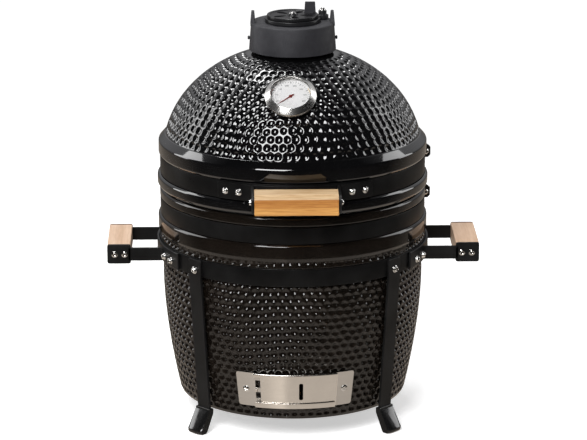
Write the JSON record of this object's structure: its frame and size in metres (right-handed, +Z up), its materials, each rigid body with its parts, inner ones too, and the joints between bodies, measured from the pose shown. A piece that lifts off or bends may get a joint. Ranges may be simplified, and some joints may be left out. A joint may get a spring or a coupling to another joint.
{
  "type": "kamado grill",
  "caption": "Compact ceramic kamado charcoal grill on a steel cradle with four short legs, hinged dome lid, damper cap, lid thermometer, wooden handles and sliding draft door.",
  "frame": {"origin": "on the ground plane under the middle of the grill, halfway between the front grip and the hinge pin's lugs", "axes": "+Z up, the front handle and draft door face -Y, +X is the right-hand side seen from the front"},
  "size_m": [0.55, 0.517, 0.6147],
  "materials": {
    "base_glaze": "gloss",
    "dome_glaze": "gloss",
    "bare_ceramic": "matte",
    "felt": "matte",
    "black_steel": "satin",
    "stainless": "satin",
    "bright_bolt": "polished",
    "iron": "matte",
    "bamboo": "satin",
    "pale_wood": "satin",
    "vinyl": "gloss",
    "dial_white": "satin",
    "needle_red": "satin",
    "lens_glass": null
  },
  "bodies": {
    "base": {"base_shell": "base_glaze", "charcoal_grate": "iron", "cooking_grate": "stainless", "cradle_ring_front": "black_steel", "cradle_ring_rear": "black_steel", "draft_frame": "stainless", "draft_screw_left": "bright_bolt", "draft_screw_right": "bright_bolt", "fire_ring": "bare_ceramic", "firebox": "bare_ceramic", "foot_sleeve_front_left": "vinyl", "foot_sleeve_front_right": "vinyl", "foot_sleeve_rear_left": "vinyl", "foot_sleeve_rear_right": "vinyl", "hinge_lower_bracket": "black_steel", "hinge_pin": "bright_bolt", "hinge_spring": "stainless", "leg_bolt_front_left": "bright_bolt", "leg_bolt_front_right": "bright_bolt", "leg_bolt_rear_left": "bright_bolt", "leg_bolt_rear_right": "bright_bolt", "leg_front_left": "black_steel", "leg_front_right": "black_steel", "leg_rear_left": "black_steel", "leg_rear_right": "black_steel", "lower_band": "black_steel", "lower_band_bolt": "bright_bolt", "rim_gasket": "felt", "ring_bolt_front_left": "bright_bolt", "ring_bolt_front_right": "bright_bolt", "ring_bolt_rear_left": "bright_bolt", "ring_bolt_rear_right": "bright_bolt", "side_bracket_left": "black_steel", "side_bracket_right": "black_steel", "side_grip_bolt_left_inner": "bright_bolt", "side_grip_bolt_left_outer": "bright_bolt", "side_grip_bolt_right_inner": "bright_bolt", "side_grip_bolt_right_outer": "bright_bolt", "side_grip_left": "pale_wood", "side_grip_right": "pale_wood"},
    "lid": {"bracket_bolt_left_inner": "bright_bolt", "bracket_bolt_left_outer": "bright_bolt", "bracket_bolt_right_inner": "bright_bolt", "bracket_bolt_right_outer": "bright_bolt", "dome_shell": "dome_glaze", "front_grip": "bamboo", "front_grip_bolt": "bright_bolt", "front_handle_bracket": "black_steel", "hinge_upper_bracket": "black_steel", "thermometer_case": "stainless", "thermometer_dial": "dial_white", "thermometer_lens": "lens_glass", "upper_band": "black_steel", "upper_band_bolt": "bright_bolt", "vent_cap": "iron", "vent_pivot_screw": "bright_bolt"},
    "damper_plate": {"vent_slide_plate": "iron"},
    "daisy_wheel": {"vent_daisy_wheel": "iron"},
    "needle": {"thermometer_needle": "needle_red"},
    "draft_door": {"draft_door": "stainless"}
  },
  "joints": [
    {"name": "lid_hinge", "type": "hinge", "parent": "base", "child": "lid", "pos_m": [0, 0.2455, 0.345], "axis": [-1, 0, 0], "range_deg": [0, 75]},
    {"name": "damper_swing", "type": "hinge", "parent": "lid", "child": "damper_plate", "pos_m": [0.0445, 0.0195, 0.594], "axis": [0, 0, -1], "range_deg": [0, 80]},
    {"name": "daisy_turn", "type": "hinge", "parent": "damper_plate", "child": "daisy_wheel", "pos_m": [0, 0, 0.596], "axis": [0, 0, 1], "range_deg": [0, 36]},
    {"name": "draft_slide", "type": "hinge", "parent": "base", "child": "draft_door", "pos_m": [0, 0, 0.0765], "axis": [0, 0, 1], "range_deg": [-1.4, 24]},
    {"name": "needle_turn", "type": "hinge", "parent": "lid", "child": "needle", "pos_m": [-0.00593, -0.13587, 0.504], "axis": [0.0271, 0.6206, -0.7837], "range_deg": [0, 256]}
  ]
}
